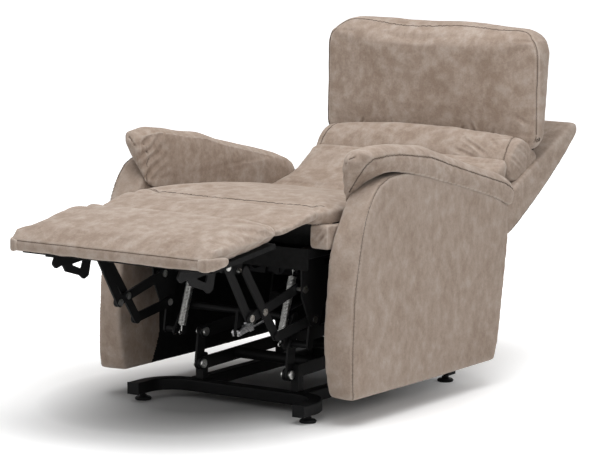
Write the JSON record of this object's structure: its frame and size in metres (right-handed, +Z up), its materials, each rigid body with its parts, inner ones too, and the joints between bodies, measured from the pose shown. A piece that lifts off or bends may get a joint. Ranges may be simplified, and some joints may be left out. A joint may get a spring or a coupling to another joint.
{
  "type": "rise and recline armchair",
  "caption": "Powered rise-and-recline armchair with padded arms on a tubular base, a lifting seat frame, a folding footrest, a reclining back and a tilting headrest.",
  "frame": {"origin": "centre of the bounding box at floor level", "axes": "+X to the sitter's left, +Y towards the back of the chair, +Z up; the chair faces -Y"},
  "size_m": [0.784, 1.6438, 0.866],
  "materials": {
    "suede": "matt mottled suede-look upholstery",
    "black_steel": "satin black powder coat",
    "zinc": "bright zinc plate",
    "steel": "plain drawn steel",
    "black_plastic": "moulded plastic, fine texture",
    "lining": "board covered with black non-woven lining",
    "black_cloth": "black polypropylene cloth"
  },
  "bodies": {
    "base": {"base_front_bar": "black_steel", "base_side_rails": "black_steel", "base_rear_bar": "black_steel", "tube_end_caps": "black_plastic", "levelling_feet": "black_plastic", "lift_towers": "black_steel", "tower_bolts": "zinc", "lift_motor_bracket": "black_steel"},
    "lower_lift": {"lower_lift_arms": "black_steel", "lift_torsion_tube": "black_steel"},
    "upper_lift": {"upper_lift_links": "black_steel"},
    "lift_housing": {"lift_motor": "black_plastic"},
    "lift_piston": {"lift_rod": "steel"},
    "carriage": {"side_plate_left": "black_steel", "side_plate_right": "black_steel", "front_cross_rail": "black_steel", "middle_cross_rail": "black_steel", "rear_cross_rail": "black_steel", "seat_side_rails": "black_steel", "seat_webbing": "black_cloth", "lift_hangers": "black_steel", "hanger_bolts": "zinc", "hanger_cross_tube": "black_steel", "side_plate_pins": "zinc", "arm_brackets": "black_steel", "arm_panel_left": "suede", "arm_panel_right": "suede", "arm_pad_left": "suede", "arm_pad_right": "suede", "seat_cushion": "suede", "seat_side_fillers": "suede", "front_dust_cloth": "black_cloth", "spring_anchors": "black_steel", "back_motor_bracket": "black_steel", "control_box": "black_plastic", "return_springs": "zinc"},
    "long_link": {"footrest_long_links": "black_steel", "long_link_pins": "zinc"},
    "rear_link": {"footrest_rear_links": "black_steel", "footrest_drive_shaft": "black_steel"},
    "cross_link": {"footrest_cross_links": "black_steel"},
    "front_link": {"footrest_front_links": "black_steel"},
    "footrest": {"footrest_pad": "suede", "footrest_board": "lining", "footrest_brackets": "black_steel", "footrest_bracket_pins": "zinc"},
    "calf": {"calf_pad": "suede"},
    "footrest_housing": {"footrest_motor": "black_plastic"},
    "footrest_piston": {"footrest_rod": "steel"},
    "back": {"back_shell": "suede", "lumbar_cushion": "suede", "shoulder_cushion": "suede", "back_hinge_brackets": "black_steel", "back_cross_bar": "black_steel", "headrest_hinge_ears": "black_steel"},
    "back_housing": {"back_motor": "black_plastic"},
    "back_piston": {"back_rod": "steel"},
    "headrest": {"headrest_cushion": "suede", "headrest_board": "lining", "headrest_hinge_arms": "black_steel"}
  },
  "joints": [
    {"name": "lift_rise", "type": "hinge", "parent": "base", "child": "lower_lift", "pos_m": [0, -0.2692, 0.092], "axis": [1, 0, 0], "range_deg": [0, 50]},
    {"name": "carriage_tilt", "type": "hinge", "parent": "lower_lift", "child": "carriage", "pos_m": [0, 0.0828, 0.1], "axis": [1, 0, 0], "range_deg": [-30.02, 0]},
    {"name": "upper_arm_swing", "type": "hinge", "parent": "base", "child": "upper_lift", "pos_m": [0, -0.2582, 0.172], "axis": [1, 0, 0], "range_deg": [0, 60.02]},
    {"name": "lift_motor_swing", "type": "hinge", "parent": "base", "child": "lift_housing", "pos_m": [0, 0.2528, 0.075], "axis": [1, 0, 0], "range_deg": [-12.38, 0]},
    {"name": "lift_motor_stroke", "type": "slide", "parent": "lift_housing", "child": "lift_piston", "axis": [0, -0.9852, 0.1713], "range_m": [0, 0.12648]},
    {"name": "footrest_extend", "type": "hinge", "parent": "carriage", "child": "long_link", "pos_m": [0, -0.3282, 0.321], "axis": [1, 0, 0], "range_deg": [0, 117.64], "deforming": ["return_springs"]},
    {"name": "rear_link_swing", "type": "hinge", "parent": "carriage", "child": "rear_link", "pos_m": [0, -0.2858, 0.2415], "axis": [1, 0, 0], "range_deg": [0, 125.71]},
    {"name": "cross_link_swing", "type": "hinge", "parent": "long_link", "child": "cross_link", "pos_m": [0, -0.4774, 0.286], "axis": [1, 0, 0], "range_deg": [-121.26, 0]},
    {"name": "front_link_swing", "type": "hinge", "parent": "long_link", "child": "front_link", "pos_m": [0, -0.5204, 0.2759], "axis": [1, 0, 0], "range_deg": [-99.34, 0]},
    {"name": "footrest_turn", "type": "hinge", "parent": "front_link", "child": "footrest", "pos_m": [0, -0.6054, 0.41], "axis": [1, 0, 0], "range_deg": [0, 62.29]},
    {"name": "calf_fold", "type": "hinge", "parent": "carriage", "child": "calf", "pos_m": [0, -0.3872, 0.503], "axis": [1, 0, 0], "range_deg": [0, 84.52]},
    {"name": "footrest_motor_swing", "type": "hinge", "parent": "carriage", "child": "footrest_housing", "pos_m": [0, 0.0828, 0.25], "axis": [1, 0, 0], "range_deg": [-11.98, 0]},
    {"name": "footrest_motor_stroke", "type": "slide", "parent": "footrest_housing", "child": "footrest_piston", "axis": [0, -0.9867, -0.1627], "range_m": [-0.06537, 0]},
    {"name": "back_recline", "type": "hinge", "parent": "carriage", "child": "back", "pos_m": [0, 0.2528, 0.38], "axis": [1, 0, 0], "range_deg": [0, 45]},
    {"name": "back_motor_swing", "type": "hinge", "parent": "carriage", "child": "back_housing", "pos_m": [0, -0.2272, 0.352], "axis": [1, 0, 0], "range_deg": [0, 3.87]},
    {"name": "back_motor_stroke", "type": "slide", "parent": "back_housing", "child": "back_piston", "axis": [0, 0.9904, -0.1382], "range_m": [0, 0.06402]},
    {"name": "headrest_tilt", "type": "hinge", "parent": "back", "child": "headrest", "pos_m": [0, 0.6038, 0.545], "axis": [1, 0, 0], "range_deg": [-48, 0]}
  ],
  "couplings": [
    {"joint": "carriage_tilt", "follows": "lift_rise", "ratio": -0.6},
    {"joint": "upper_arm_swing", "follows": "lift_rise", "ratio": 1.2001},
    {"joint": "lift_motor_swing", "follows": "lift_rise", "ratio": -0.24711},
    {"joint": "lift_motor_stroke", "follows": "lift_rise", "m_per_rad": 0.14482},
    {"joint": "rear_link_swing", "follows": "footrest_extend", "ratio": 1.0684},
    {"joint": "cross_link_swing", "follows": "footrest_extend", "ratio": -1.0306},
    {"joint": "front_link_swing", "follows": "footrest_extend", "ratio": -0.84427},
    {"joint": "footrest_turn", "follows": "footrest_extend", "ratio": 0.52928},
    {"joint": "calf_fold", "follows": "footrest_extend", "ratio": 0.71827},
    {"joint": "footrest_motor_swing", "follows": "footrest_extend", "ratio": -0.10169},
    {"joint": "footrest_motor_stroke", "follows": "footrest_extend", "m_per_rad": -0.031789},
    {"joint": "back_motor_swing", "follows": "back_recline", "ratio": 0.08558},
    {"joint": "back_motor_stroke", "follows": "back_recline", "m_per_rad": 0.081388}
  ]
}
